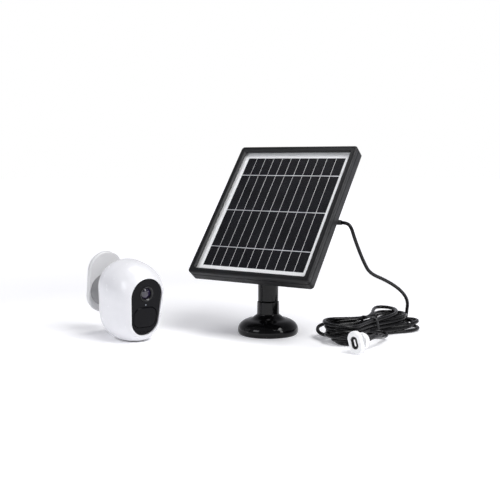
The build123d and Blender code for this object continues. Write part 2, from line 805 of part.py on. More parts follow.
# the domed front element, and two more inside the barrel
with BuildPart() as lens_elements:
    with Locations(Plane(origin=camera_point(0, lens_height, 24.0), x_dir=sideways, z_dir=forward)):
        Sphere(11.0)
    with BuildSketch(camera.offset(33.0)):
        with Locations((0, lens_height)):
            Circle(6.2)
    extrude(amount=6, mode=Mode.INTERSECT)
    with BuildSketch(camera.offset(25.0), camera.offset(28.2)):
        with Locations((0, lens_height)):
            Circle(4.2)
    extrude(amount=1.6)
pieces["lens_elements"] = lens_elements

with BuildPart() as sensor_board:
    with BuildSketch(camera.offset(20.4)):
        with Locations((0, lens_height - 1)):
            Rectangle(26, 24)
    extrude(amount=1.6)
pieces["sensor_board"] = sensor_board

with BuildPart() as pir_window:
    with BuildSketch(camera.offset(33.3)):
        with Locations((0, pir_height)):
            RectangleRounded(pir_width, pir_length, 8.8)
    extrude(amount=2.4)
    fillet(pir_window.faces().sort_by(camera_axis)[-1].edges(), 1.6)
pieces["pir_window"] = pir_window

# the motion sensor's can on its small board
with BuildPart() as pir_sensor:
    with BuildSketch(camera.offset(22.0)):
        with Locations((0, pir_height)):
            Rectangle(26, 16)
    extrude(amount=1.2)
    with BuildSketch(camera.offset(23.2)):
        with Locations((0, pir_height)):
            Circle(4.6)
    extrude(amount=4.2)
    with BuildSketch(camera.offset(23.2)):
        with Locations((0, pir_height)):
            Circle(5.2)
    extrude(amount=0.7)
pieces["pir_sensor"] = pir_sensor

# the night-vision lamps on their ring board round the lens
with BuildPart() as infrared_board:
    with BuildSketch(camera.offset(28.0)):
        with Locations((-10.7, lens_height), (10.7, lens_height), (0, lens_height + 10.7)):
            Circle(2.4)
    extrude(amount=4.0)
    fillet(infrared_board.faces().group_by(camera_axis)[-1].edges(), 1.2)
    with BuildSketch(camera.offset(26.8)):
        with Locations((0, lens_height)):
            Circle(14.6)
            Circle(6.8, mode=Mode.SUBTRACT)
    extrude(amount=1.2)
pieces["infrared_board"] = infrared_board

with BuildPart() as status_light:
    with BuildSketch(camera.offset(30.0)):
        with Locations((0, light_height)):
            Circle(0.8)
    extrude(amount=5.2)
pieces["status_light"] = status_light

# ---------------------------------------------------------------- camera inside

with BuildPart() as chassis:
    with BuildSketch(camera.offset(6.0)):
        with Locations((0, 2)):
            RectangleRounded(44, 62, 12)
    extrude(amount=2.0)
    with BuildSketch(camera.offset(8.0)):
        with Locations((0, 2)):
            with GridLocations(34, 46, 2, 2):
                Circle(2.6)
    extrude(amount=4.0)
    with BuildSketch(camera.offset(8.0)):
        with Locations((0, 2)):
            with GridLocations(34, 46, 2, 2):
                Circle(1.0)
    extrude(amount=4.0, mode=Mode.SUBTRACT)
pieces["chassis"] = chassis

with BuildPart() as main_board:
    with BuildSketch(camera.offset(12.0)):
        with Locations((0, 2)):
            RectangleRounded(42, 56, 6)
            with GridLocations(34, 46, 2, 2):
                Circle(1.2, mode=Mode.SUBTRACT)
    extrude(amount=1.6)
    with BuildSketch(camera.offset(13.6)):
        with Locations((-6, 8)):
            Rectangle(13, 13)
        with Locations((10, 12), (9, -8)):
            Rectangle(8, 10)
        with Locations((-8, -10)):
            Rectangle(10, 8)
    extrude(amount=1.6)
pieces["main_board"] = main_board

with BuildPart() as board_screws:
    with Locations(camera.offset(13.6)):
        with Locations((0, 2)):
            with GridLocations(34, 46, 2, 2):
                Cylinder(2.0, 1.4, align=(Align.CENTER, Align.CENTER, Align.MIN))
                Cylinder(0.95, 5.0, align=(Align.CENTER, Align.CENTER, Align.MAX))
pieces["board_screws"] = board_screws

cell_plane = Plane(origin=camera_point(0, 1.5, -5), x_dir=sideways, z_dir=camera_up)
with BuildPart() as battery_cells:
    with BuildSketch(cell_plane.offset(-32.4)):
        with Locations((-9.7, 0), (9.7, 0)):
            Circle(9.2)
    extrude(amount=64.0)
    fillet(battery_cells.edges().filter_by(GeomType.CIRCLE), 0.8)
    with BuildSketch(cell_plane.offset(31.6)):
        with Locations((-9.7, 0), (9.7, 0)):
            Circle(3.0)
    extrude(amount=0.8)
pieces["battery_cells"] = battery_cells

with BuildPart() as speaker:
    with BuildSketch(camera.offset(-26.0)):
        with Locations((0, -18)):
            Circle(8.5)
    extrude(amount=2.4)
    with BuildSketch(camera.offset(-23.6)):
        with Locations((0, -18)):
            Circle(5.5)
    extrude(amount=3.0)
pieces["speaker"] = speaker

with BuildPart() as antenna:
    with BuildSketch(Plane(origin=camera_point(0, 40.0, 0), x_dir=sideways, z_dir=camera_up)):
        Rectangle(28, 7)
    extrude(amount=0.6)
pieces["antenna"] = antenna

with BuildPart() as usb_port:
    with BuildSketch(port_plane.offset(port_facet - 0.2)):
        RectangleRounded(8.6, 4.0, 1.8)
        RectangleRounded(7.4, 2.8, 1.2, mode=Mode.SUBTRACT)
    extrude(amount=-5.6)
    with BuildSketch(port_plane.offset(port_facet - 5.8)):
        RectangleRounded(8.6, 4.0, 1.8)
    extrude(amount=-1.2)
    with BuildSketch(port_plane.offset(port_facet - 5.8)):
        Rectangle(5.2, 0.7)
    extrude(amount=4.4)
pieces["usb_port"] = usb_port

cover_length = 9.0
cover_top = 0.5
with BuildPart() as port_cover:
    with BuildSketch(port_plane.offset(port_facet)):
        RectangleRounded(13.6, cover_length, 2.4)
    extrude(amount=cover_top - port_facet)
    fillet(port_cover.faces().sort_by(Axis(port_plane.origin, port_normal))[-1].edges(), 0.6)
pieces["port_cover"] = port_cover

with BuildPart() as power_button:
    with BuildSketch(button_plane.offset(-3.0)):
        Circle(button_radius)
    extrude(amount=3.4)
    fillet(power_button.faces().sort_by(Axis(button_plane.origin, button_normal))[-1].edges(), 0.6)
pieces["power_button"] = power_button

with BuildPart() as button_switch:
    with BuildSketch(button_plane.offset(-7.6)):
        Rectangle(6, 6)
    extrude(amount=2.4)
    with BuildSketch(button_plane.offset(-5.2)):
        Circle(1.6)
    extrude(amount=1.1)
pieces["button_switch"] = button_switch

with BuildPart() as catch_plate:
    with BuildSketch(camera.offset(-28.0)):
        Circle(10.5)
    extrude(amount=1.6)
pieces["catch_plate"] = catch_plate

# ---------------------------------------------------------------- magnetic wall mount

with BuildPart() as mount_dome:
    with Locations(camera.offset(dome_centre_at)):
        Sphere(dome_radius)
    with BuildSketch(camera.offset(dome_centre_at)):
        Circle(dome_radius + 1)
    extrude(amount=dome_radius + 1, mode=Mode.INTERSECT)
    with BuildSketch(camera.offset(dome_centre_at)):
        Circle(9.2)
    extrude(amount=15.0, mode=Mode.SUBTRACT)
    with BuildSketch(camera.offset(dome_centre_at)):
        Circle(4.0)
        Circle(1.6, mode=Mode.SUBTRACT)
    extrude(amount=9.8)
    with BuildSketch(camera.offset(dome_centre_at)):
        with GridLocations(9.3, 0, 2, 1):
            Rectangle(10.6, 2.0)
    extrude(amount=1.8)
    with BuildSketch(camera.offset(dome_centre_at)):
        Circle(1.6)
    extrude(amount=9.8, mode=Mode.SUBTRACT)
pieces["mount_dome"] = mount_dome

with BuildPart() as dome_magnet:
    with BuildSketch(camera.offset(dome_centre_at + 10.0)):
        Circle(9.0)
    extrude(amount=4.8)
pieces["dome_magnet"] = dome_magnet

with BuildPart() as dome_skin:
    with Locations(camera.offset(dome_centre_at)):
        Sphere(dome_radius + 0.8)
        Sphere(dome_radius + 0.4, mode=Mode.SUBTRACT)
    with BuildSketch(camera.offset(dome_centre_at + 14.5)):
        Circle(dome_radius + 2)
    extrude(amount=dome_radius, mode=Mode.INTERSECT)
pieces["dome_skin"] = dome_skin

with BuildPart() as wall_plate:
    with BuildSketch(camera.offset(dome_centre_at)):
        with Locations((0, plate_rise)):
            SlotOverall(plate_length, plate_width, rotation=90)
    extrude(amount=-plate_thickness)
    fillet(wall_plate.faces().sort_by(camera_axis)[-1].edges(), 1.6)
    with BuildSketch(camera.offset(dome_centre_at)):
        Circle(1.9)
    extrude(amount=-plate_thickness, mode=Mode.SUBTRACT)
    with BuildSketch(camera.offset(dome_centre_at - plate_thickness)):
        Circle(4.2)
    extrude(amount=2.4, mode=Mode.SUBTRACT)
pieces["wall_plate"] = wall_plate

with BuildPart() as dome_screw:
    with BuildSketch(camera.offset(dome_centre_at - plate_thickness + 0.4)):
        Circle(3.7)
    extrude(amount=1.9)
    with BuildSketch(camera.offset(dome_centre_at - plate_thickness + 0.4)):
        Circle(1.55)
    extrude(amount=13.0)
    with Locations(camera.offset(dome_centre_at - plate_thickness + 0.4)):
        Box(4.0, 0.8, 1.4, mode=Mode.SUBTRACT)
        Box(0.8, 4.0, 1.4, mode=Mode.SUBTRACT)
pieces["dome_screw"] = dome_screw

with BuildPart() as plate_pad:
    with BuildSketch(camera.offset(dome_centre_at - plate_thickness)):
        with Locations((0, plate_rise)):
            SlotOverall(plate_length - 5, plate_width - 5, rotation=90)
        Circle(5.0, mode=Mode.SUBTRACT)
    extrude(amount=-0.8)
pieces["plate_pad"] = plate_pad

# ---------------------------------------------------------------- files

for label, piece in pieces.items():
    piece.part.label = label
    export_step(piece.part, f"parts/{label}.step")
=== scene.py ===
"""Looks of a battery security camera and of the solar panel, stand and cord that charge it.

Metres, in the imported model's own frame: the origin is under the stand's foot, +Z is up, and the
panel and the camera face -Y.
"""
import json
import math
import random

import bmesh
import bpy
import numpy as np
from mathutils import Matrix, Vector


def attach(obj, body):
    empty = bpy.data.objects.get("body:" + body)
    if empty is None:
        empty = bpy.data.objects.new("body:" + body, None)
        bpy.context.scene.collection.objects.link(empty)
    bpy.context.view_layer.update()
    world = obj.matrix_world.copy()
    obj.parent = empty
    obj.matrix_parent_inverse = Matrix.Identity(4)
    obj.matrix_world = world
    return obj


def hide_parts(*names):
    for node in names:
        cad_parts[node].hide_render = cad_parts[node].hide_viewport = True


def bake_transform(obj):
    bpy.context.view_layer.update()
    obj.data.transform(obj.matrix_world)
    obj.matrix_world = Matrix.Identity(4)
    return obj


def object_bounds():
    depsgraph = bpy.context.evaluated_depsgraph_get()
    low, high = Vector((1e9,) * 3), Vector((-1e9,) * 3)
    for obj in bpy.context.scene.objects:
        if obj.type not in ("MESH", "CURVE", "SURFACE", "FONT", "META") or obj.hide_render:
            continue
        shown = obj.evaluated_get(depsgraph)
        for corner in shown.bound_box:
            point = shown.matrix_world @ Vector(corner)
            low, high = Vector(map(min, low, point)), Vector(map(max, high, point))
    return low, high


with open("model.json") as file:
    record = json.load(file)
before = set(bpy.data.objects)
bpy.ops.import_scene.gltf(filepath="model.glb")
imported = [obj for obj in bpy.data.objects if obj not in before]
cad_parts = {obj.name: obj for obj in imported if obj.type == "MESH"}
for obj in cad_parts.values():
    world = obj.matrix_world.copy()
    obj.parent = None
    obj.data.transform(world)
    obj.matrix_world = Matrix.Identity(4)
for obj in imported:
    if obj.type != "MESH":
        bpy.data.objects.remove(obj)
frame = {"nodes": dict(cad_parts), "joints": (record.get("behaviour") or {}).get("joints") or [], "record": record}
cad_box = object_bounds()

nodes = frame["nodes"]
joints = {joint["name"]: joint for joint in frame["joints"]}
slots = {part["node"]: part["material_slot"] for part in frame["record"]["subparts"]}

# ---------------------------------------------------------------- directions taken from the frame


def widest_normal(node):
    """The outward direction of a flat node's largest faces, on the side that faces -Y."""
    polygons = nodes[node].data.polygons
    widest = max((p for p in polygons if p.normal.y < 0), key=lambda p: p.area)
    return widest.normal.normalized()


pivot = Vector(joints["panel_tilt"]["pos_m"])
across = Vector(joints["panel_tilt"]["axis"])
outward = widest_normal("backsheet")
up_slope = outward.cross(across)


def panel_point(right, up, level):
    """A place in the panel's own directions, from the hinge."""
    return pivot + across * right + up_slope * up + outward * level


# ---------------------------------------------------------------- view

camera_data = bpy.data.cameras.new("view")
camera_data.sensor_width = 36.0
camera_data.lens = 61.06
view_camera = bpy.data.objects.new("view", camera_data)
view_camera.location = (-0.0209, -0.966, 0.198)
view_camera.rotation_euler = (math.radians(84.0), 0.0, 0.0)
bpy.context.scene.collection.objects.link(view_camera)
bpy.context.scene.camera = view_camera

# ---------------------------------------------------------------- the cord's line

cord_radius = 0.002
cord_diameter = 2 * cord_radius
gland_mouth = panel_point(0.080, 0.0559, 0.011)

lead_route = [
    gland_mouth,
    gland_mouth + across * 0.0070,
    (0.0916, -0.0279, 0.1242),
    (0.0946, -0.0286, 0.1140),
    (0.1000, -0.0245, 0.1005),
    (0.1073, -0.0165, 0.0845),
    (0.1155, -0.0085, 0.0705),
    (0.1370, 0.0110, 0.0600),
    (0.1565, 0.0280, 0.0470),
    (0.1690, 0.0405, 0.0320),
    (0.1680, 0.0445, 0.0150),
]

plug_front = Vector((0.086, -0.112, 0.0123))
plug_heading = math.radians(230.3)
plug_out = Vector((math.cos(plug_heading), math.sin(plug_heading), 0.0))
relief_end = plug_front - plug_out * 0.031
tail_route = [
    (0.1126, -0.0350, 0.0095),
    (0.1214, -0.0301, 0.0085),
    (0.1296, -0.0320, 0.0070),
    (0.1316, -0.0408, 0.0060),
    (0.1250, -0.0500, 0.0054),
    (0.1210, -0.0635, 0.0080),
    relief_end - plug_out * 0.009,
    relief_end,
]

hank_centre = Vector((0.116, -0.014, 0.0))
hank_angle = math.radians(32.0)
hank_along = Vector((math.cos(hank_angle), math.sin(hank_angle), 0.0))
hank_aside = Vector((-math.sin(hank_angle), math.cos(hank_angle), 0.0))
hank_turns = 8
turn_steps = 26
entry_angle = 38.0
leave_angle = 226.0
tie_half_width = 0.0118
tie_floor = 0.0038
tie_top = 0.0216


def hank_point(along, aside, height):
    return hank_centre + hank_along * along + hank_aside * aside + Vector((0, 0, height))


def smooth(low, high, value):
    share = min(1.0, max(0.0, (value - low) / (high - low)))
    return share * share * (3 - 2 * share)


def hank_loops():
    """The turns of the hank before they settle: long loops, pinched in the middle by the tie."""
    draw = random.Random(11)
    count = hank_turns + 2
    left = [draw.uniform(0.055, 0.071) for _ in range(count)]
    right = [draw.uniform(0.072, 0.083) - 0.0020 * turn for turn in range(count)]
    left_bulge = [draw.uniform(0.026, 0.043) for _ in range(count)]
    right_bulge = [draw.uniform(0.022, 0.030) for _ in range(count)]
    lean = [draw.uniform(-0.008, 0.008) for _ in range(count)]
    left_lift = [draw.uniform(-0.002, 0.003) for _ in range(count)]
    right_lift = [draw.uniform(-0.001, 0.004) for _ in range(count)]
    points = []
    fall_steps = 11
    leave_height = 0.0085
    first = int(entry_angle / 360 * turn_steps)
    last = int((hank_turns + leave_angle / 360) * turn_steps)
    for step in range(first, last + 1):
        turn, place = divmod(step, turn_steps)
        angle = 2 * math.pi * place / turn_steps
        to_right = math.cos(angle) > 0
        lobe = turn + 1 if to_right and place > turn_steps / 2 else turn
        reach = right[lobe] if to_right else left[lobe]
        bulge = right_bulge[lobe] if to_right else left_bulge[lobe]
        share = abs(math.cos(angle))
        waist = 0.0024 + 0.0042 * (turn % 2)
        spread = waist + (bulge - waist) * smooth(0.12, 0.62, share)
        along = math.copysign(share**0.8, math.cos(angle)) * reach
        across_share = math.copysign(abs(math.sin(angle)) ** 0.9, math.sin(angle))
        far_bend = (0.005 + 0.0028 * lobe) * smooth(0.0, 0.06, along)
        near_bend = (0.017 - 0.0021 * lobe) * smooth(0.0, 0.06, -along)
        aside = across_share * spread + far_bend - near_bend + lean[lobe] * smooth(0.3, 0.9, share)
        level = 0.0030 + 0.00195 * step / turn_steps
        lift = (right_lift if to_right else left_lift)[lobe] * smooth(0.3, 0.9, share)
        fall = smooth(last - fall_steps, last, step)
        height = (level + lift) * (1 - fall) + leave_height * fall
        points.append(hank_point(along, aside, max(cord_radius, height)))
    return points


def settle(points, rounds):
    """Moves the loops apart where they cross, while they keep their bend and their length."""
    pull_back = np.array([0.05, 0.05, 0.035])
    sink = 0.00006
    stiffness = 0.22
    clearance = cord_diameter * 1.02
    place = np.array([tuple(p) for p in points])
    wound = place.copy()
    rest_bend = place[:-2] + place[2:] - 2 * place[1:-1]
    rest_run = np.linalg.norm(np.diff(place, axis=0), axis=1)
    centre = np.array(hank_centre)
    along = np.array(hank_along)
    aside = np.array(hank_aside)
    shares = np.array([0.0, 0.25, 0.5, 0.75])
    count = len(place)
    segment = np.repeat(np.arange(count - 1), len(shares))
    share = np.tile(shares, count - 1)[:, None]
    apart = np.abs(segment[:, None] - segment[None, :]) > 3
    pinned = place[[0, 1, -2, -1]].copy()
    for _ in range(rounds):
        place += pull_back * (wound - place)
        place[:, 2] -= sink
        bend = place[:-2] + place[2:] - 2 * place[1:-1] - rest_bend
        place[1:-1] += stiffness * bend
        run = np.diff(place, axis=0)
        length = np.linalg.norm(run, axis=1)[:, None]
        stretch = run * (0.5 * (length - rest_run[:, None]) / length)
        place[:-1] += 0.5 * stretch
        place[1:] -= 0.5 * stretch
        for _ in range(2):
            samples = place[segment] * (1 - share) + place[segment + 1] * share
            gap = samples[:, None, :] - samples[None, :, :]
            distance = np.sqrt((gap**2).sum(axis=2)) + 1e-9
            near = apart & (distance < clearance)
            one, other = np.nonzero(near)
            if len(one):
                shove = (clearance - distance[one, other])[:, None] * 0.5
                shove = shove * gap[one, other] / distance[one, other][:, None]
                move = np.zeros_like(place)
                weight = np.zeros((count, 1))
                ahead = share[one]
                np.add.at(move, segment[one], shove * (1 - ahead))
                np.add.at(move, segment[one] + 1, shove * ahead)
                np.add.at(weight, segment[one], 1 - ahead)
                np.add.at(weight, segment[one] + 1, ahead)
                place += move / np.maximum(weight, 1.0)
        local = (place - centre) @ np.stack([along, aside], axis=1)
        tied = np.clip(1.6 - np.abs(local[:, 0]) / 0.008, 0, 1)
        wanted = np.clip(local[:, 1], -tie_half_width + cord_radius, tie_half_width - cord_radius)
        place += (tied * (wanted - local[:, 1]))[:, None] * aside
        high = np.clip(place[:, 2], tie_floor, tie_top)
        place[:, 2] += tied * (high - place[:, 2])
        place[:, 2] = np.maximum(place[:, 2], cord_radius)
        place[[0, 1, -2, -1]] = pinned
    for _ in range(2):
        place[2:-2] += 0.25 * (place[1:-3] + place[3:-1] - 2 * place[2:-2])
    return [Vector(p) for p in place]


entry_route = [(0.1672, 0.0443, 0.0090), (0.1645, 0.0410, 0.0040)]
cord_points = lead_route + entry_route + settle(hank_loops(), 160) + tail_route

cord_curve = bpy.data.curves.new("cord_line", "CURVE")
cord_curve.dimensions = "3D"
cord_spline = cord_curve.splines.new("NURBS")
cord_spline.points.add(len(cord_points) - 1)
for control, point in zip(cord_spline.points, cord_points):
    control.co = (*point, 1.0)
cord_spline.order_u = 3
cord_spline.use_endpoint_u = True
cord_spline.resolution_u = 7


def curve_line(curve):
    """The points of a curve's own line, in order."""
    holder = bpy.data.objects.new("line_holder", curve)
    bpy.context.scene.collection.objects.link(holder)
    line = bpy.data.meshes.new_from_object(holder)
    points = [vertex.co.copy() for vertex in line.vertices]
    bpy.data.objects.remove(holder)
    bpy.data.meshes.remove(line)
    return points


cord_line = curve_line(cord_curve)

# ---------------------------------------------------------------- mesh helpers


def new_piece(name, mesh, material, body):
    """A shaded mesh object, riding on a CAD body when one is given."""
    piece = bpy.data.objects.new(name, mesh)
    bpy.context.scene.collection.objects.link(piece)
    mesh.materials.append(material)
    for polygon in mesh.polygons:
        polygon.use_smooth = True
    if body is not None:
        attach(piece, body)
    return piece


def swept_mesh(name, line, section):
    """A closed-ended tube along a line. The section is a ring of (side, rise) pairs."""
    mesh = bpy.data.meshes.new(name)
    shape = bmesh.new()
    rings = []
    travel = (line[1] - line[0]).normalized()
    side = travel.orthogonal().normalized()
    for index, point in enumerate(line):
        before = line[max(index - 1, 0)]
        after = line[min(index + 1, len(line) - 1)]
        onward = (after - before).normalized()
        side = travel.rotation_difference(onward) @ side
        side = (side - onward * side.dot(onward)).normalized()
        travel = onward
        rise = onward.cross(side)
        rings.append([shape.verts.new(point + side * a + rise * b) for a, b in section])
    for ring, following in zip(rings, rings[1:]):
        for index in range(len(ring)):
            onward = (index + 1) % len(ring)
            shape.faces.new((ring[index], ring[onward], following[onward], following[index]))
    shape.faces.new(list(reversed(rings[0])))
    shape.faces.new(rings[-1])
    bmesh.ops.recalc_face_normals(shape, faces=shape.faces)
    shape.to_mesh(mesh)
    shape.free()
    return mesh


def flat_loop(name, line, width_way, section):
    """A closed band round a flat outline. Its section is (along width_way, away from the middle)."""
    middle = sum(line, Vector()) / len(line)
    mesh = bpy.data.meshes.new(name)
    shape = bmesh.new()
    rings = []
    for index, point in enumerate(line):
        onward = (line[(index + 1) % len(line)] - line[index - 1]).normalized()
        away = onward.cross(width_way).normalized()
        if away.dot(point - middle) < 0:
            away.negate()
        rings.append([shape.verts.new(point + width_way * a + away * b) for a, b in section])
    for ring, following in zip(rings, rings[1:] + rings[:1]):
        for index in range(len(section)):
            onward = (index + 1) % len(section)
            shape.faces.new((ring[index], ring[onward], following[onward], following[index]))
    bmesh.ops.recalc_face_normals(shape, faces=shape.faces)
    shape.to_mesh(mesh)
    shape.free()
    return mesh


def round_section(radius, sides=14):
    return [
        (radius * math.cos(2 * math.pi * k / sides), radius * math.sin(2 * math.pi * k / sides))
        for k in range(sides)
    ]


# ---------------------------------------------------------------- materials


class Finish:
    """One material's node tree, with the few steps that all of them share."""

    def __init__(self, name, **sockets):
        self.material = bpy.data.materials.new(name)
        self.material.use_nodes = True
        self.tree = self.material.node_tree
        self.shader = self.tree.nodes["Principled BSDF"]
        for socket, value in sockets.items():
            self.shader.inputs[socket.replace("_", " ")].default_value = value
        self.place = self.tree.nodes.new("ShaderNodeTexCoord").outputs["Object"]
        self.height = None

    def node(self, kind, **settings):
        made = self.tree.nodes.new(kind)
        for key, value in settings.items():
            setattr(made, key, value)
        return made

    def link(self, output, target):
        self.tree.links.new(output, target)

    def stretched(self, scale, turn=None):
        """Object coordinates scaled along the three axes, after an optional turn."""
        source = self.place
        if turn is not None:
            turned = self.node("ShaderNodeMapping")
            turned.inputs["Rotation"].default_value = turn
            self.link(source, turned.inputs["Vector"])
            source = turned.outputs["Vector"]
        mapping = self.node("ShaderNodeMapping")
        mapping.inputs["Scale"].default_value = scale
        self.link(source, mapping.inputs["Vector"])
        return mapping.outputs["Vector"]

    def noise(self, scale, detail=3.0, vector=None, roughness=0.5):
        made = self.node("ShaderNodeTexNoise")
        made.inputs["Scale"].default_value = scale
        made.inputs["Detail"].default_value = detail
        made.inputs["Roughness"].default_value = roughness
        self.link(vector or self.place, made.inputs["Vector"])
        return made.outputs["Fac"]

    def cells(self, scale, vector=None):
        made = self.node("ShaderNodeTexVoronoi")
        made.inputs["Scale"].default_value = scale
        self.link(vector or self.place, made.inputs["Vector"])
        return made.outputs["Distance"]

    def bands(self, scale, vector, direction):
        made = self.node("ShaderNodeTexWave", bands_direction=direction)
        made.inputs["Scale"].default_value = scale
        self.link(vector, made.inputs["Vector"])
        return made.outputs["Fac"]

    def ramp(self, source, stops):
        made = self.node("ShaderNodeValToRGB")
        elements = made.color_ramp.elements
        while len(elements) < len(stops):
            elements.new(0.5)
        for element, (position, colour) in zip(elements, stops):
            element.position = position
            element.color = (*colour, 1.0)
        self.link(source, made.inputs["Fac"])
        return made.outputs["Color"]

    def colour(self, source, stops):
        self.link(self.ramp(source, stops), self.shader.inputs["Base Color"])

    def spread(self, source, low, high, socket="Roughness", start=0.3, end=0.7):
        """A socket that wanders between two values with a texture."""
        made = self.node("ShaderNodeMapRange")
        made.inputs["From Min"].default_value = start
        made.inputs["From Max"].default_value = end
        made.inputs["To Min"].default_value = low
        made.inputs["To Max"].default_value = high
        self.link(source, made.inputs["Value"])
        self.link(made.outputs["Result"], self.shader.inputs[socket])

    def bump(self, source, depth, strength=1.0):
        """Adds a relief of a depth in metres under what is there already."""
        made = self.node("ShaderNodeBump")
        made.inputs["Distance"].default_value = depth
        made.inputs["Strength"].default_value = strength
        self.link(source, made.inputs["Height"])
        if self.height is not None:
            self.link(self.height, made.inputs["Normal"])
        self.height = made.outputs["Normal"]
        self.link(self.height, self.shader.inputs["Normal"])


def tones(colour, spread):
    """A darker and a lighter neighbour of a colour, for its slight variation."""
    low = tuple(max(0.0, c * (1 - spread)) for c in colour)
    high = tuple(min(1.0, c * (1 + spread)) for c in colour)
    return [(0.3, low), (0.7, high)]


def moulded(name, colour, rough=(0.3, 0.4), grain=2600.0, depth=0.00003, variation=0.08, **sockets):
    """Moulded plastic: a fine spark-eroded grain, slow tone changes and uneven gloss."""
    finish = Finish(name, **sockets)
    finish.colour(finish.noise(38.0), tones(colour, variation))
    finish.spread(finish.noise(90.0, 4.0), *rough)
    finish.bump(finish.noise(grain, 2.0), depth)
    return finish.material


def glossy(name, colour, rough=(0.06, 0.12), **sockets):
    """Polished moulding: faint orange peel and a low, uneven roughness."""
    finish = Finish(name, **sockets)
    finish.colour(finish.noise(24.0), tones(colour, 0.05))
    finish.spread(finish.noise(150.0, 4.0), *rough)
    finish.bump(finish.noise(420.0, 1.0), 0.000012, 0.6)
    finish.bump(finish.noise(60.0, 1.0), 0.00004, 0.25)
    return finish.material


def rubber(name, colour, rough=(0.55, 0.75), grain=1500.0, **sockets):
    """Soft rubber: dusty, with a dull pebble."""
    finish = Finish(name, **sockets)
    finish.colour(finish.noise(70.0, 5.0), tones(colour, 0.2))
    finish.spread(finish.noise(240.0, 5.0), *rough)
    finish.bump(finish.cells(grain), 0.00003, 0.7)
    return finish.material


def metal(name, colour, rough=(0.22, 0.4), stretch=(900.0, 900.0, 40.0)):
    """Plated steel with fine drawn lines."""
    finish = Finish(name, Metallic=1.0)
    lines = finish.noise(1.0, 3.0, finish.stretched(stretch))
    finish.colour(finish.noise(120.0, 4.0), tones(colour, 0.12))
    finish.spread(lines, *rough)
    finish.bump(lines, 0.00001, 0.6)
    return finish.material


def circuit_board():
    """Green solder mask over copper traces."""
    finish = Finish("board", Roughness=0.35, Coat_Weight=0.3)
    traces = finish.node("ShaderNodeTexBrick", offset=0.37, squash=1.7, squash_frequency=3)
    traces.inputs["Scale"].default_value = 260.0
    traces.inputs["Mortar Size"].default_value = 0.012
    traces.inputs["Color1"].default_value = (0.008, 0.085, 0.035, 1)
    traces.inputs["Color2"].default_value = (0.012, 0.115, 0.05, 1)
    traces.inputs["Mortar"].default_value = (0.05, 0.24, 0.1, 1)
    finish.link(finish.stretched((1, 1, 1), (0.6, 0.5, 0.8)), traces.inputs["Vector"])
    finish.link(traces.outputs["Color"], finish.shader.inputs["Base Color"])
    finish.spread(finish.noise(500.0), 0.25, 0.45)
    finish.bump(traces.outputs["Fac"], 0.00004)
    return finish.material


def slope_turn():
    """The turn that lays the panel's across and slope on X and Y, for patterns on the panel."""
    axes = Matrix((across, up_slope, outward))
    return axes.to_euler("XYZ")


def silicon():
    """Textured black cells: a blue-black sheen, crystal grain and fine printed fingers."""
    finish = Finish("cells", Specular_IOR_Level=0.14)
    flat = finish.stretched((1, 1, 1), slope_turn())
    mottle = finish.noise(55.0, 6.0, flat, 0.7)
    crystals = finish.cells(2400.0, flat)
    fingers = finish.bands(210.0, flat, "Y")
    thin = finish.ramp(fingers, [(0.955, (0, 0, 0)), (0.995, (1, 1, 1))])
    base = finish.ramp(mottle, [(0.3, (0.0020, 0.0021, 0.0030)), (0.72, (0.0052, 0.0055, 0.0080))])
    mixed = finish.node("ShaderNodeMix", data_type="RGBA")
    finish.link(thin, mixed.inputs["Factor"])
    finish.link(base, mixed.inputs["A"])
    mixed.inputs["B"].default_value = (0.022, 0.023, 0.026, 1)
    finish.link(mixed.outputs["Result"], finish.shader.inputs["Base Color"])
    finish.spread(mottle, 0.32, 0.5)
    finish.bump(crystals, 0.00002, 0.5)
    finish.bump(thin, 0.00002, 0.6)
    return finish.material


def clear_pane(name, roughness, shine_share):
    """A thin clear sheet: it shows what is behind it, and reflects more at a glancing angle."""
    material = bpy.data.materials.new(name)
    material.use_nodes = True
    tree = material.node_tree
    tree.nodes.clear()
    output = tree.nodes.new("ShaderNodeOutputMaterial")
    mix = tree.nodes.new("ShaderNodeMixShader")
    through = tree.nodes.new("ShaderNodeBsdfTransparent")
    shine = tree.nodes.new("ShaderNodeBsdfGlossy")
    facing = tree.nodes.new("ShaderNodeLayerWeight")
    grazing = tree.nodes.new("ShaderNodeMath")
    share = tree.nodes.new("ShaderNodeMapRange")
    place = tree.nodes.new("ShaderNodeTexCoord")
    grain = tree.nodes.new("ShaderNodeTexNoise")
    spread = tree.nodes.new("ShaderNodeMapRange")
    bump = tree.nodes.new("ShaderNodeBump")
    through.inputs["Color"].default_value = (1, 1, 1, 1)
    facing.inputs["Blend"].default_value = 0.5
    grazing.operation = "POWER"
    grazing.inputs[1].default_value = 5.0
    share.inputs["To Min"].default_value = shine_share
    share.inputs["To Max"].default_value = 0.5
    grain.inputs["Scale"].default_value = 180.0
    grain.inputs["Detail"].default_value = 4.0
    spread.inputs["To Min"].default_value = roughness * 0.7
    spread.inputs["To Max"].default_value = roughness * 1.3
    bump.inputs["Distance"].default_value = 0.00001
    bump.inputs["Strength"].default_value = 1.0
    link = tree.links.new
    link(place.outputs["Object"], grain.inputs["Vector"])
    link(grain.outputs["Fac"], spread.inputs["Value"])
    link(grain.outputs["Fac"], bump.inputs["Height"])
    link(spread.outputs["Result"], shine.inputs["Roughness"])
    link(bump.outputs["Normal"], shine.inputs["Normal"])
    link(facing.outputs["Facing"], grazing.inputs[0])
    link(grazing.outputs["Value"], share.inputs["Value"])
    link(share.outputs["Result"], mix.inputs["Fac"])
    link(through.outputs["BSDF"], mix.inputs[1])
    link(shine.outputs["BSDF"], mix.inputs[2])
    link(mix.outputs["Shader"], output.inputs["Surface"])
    return material


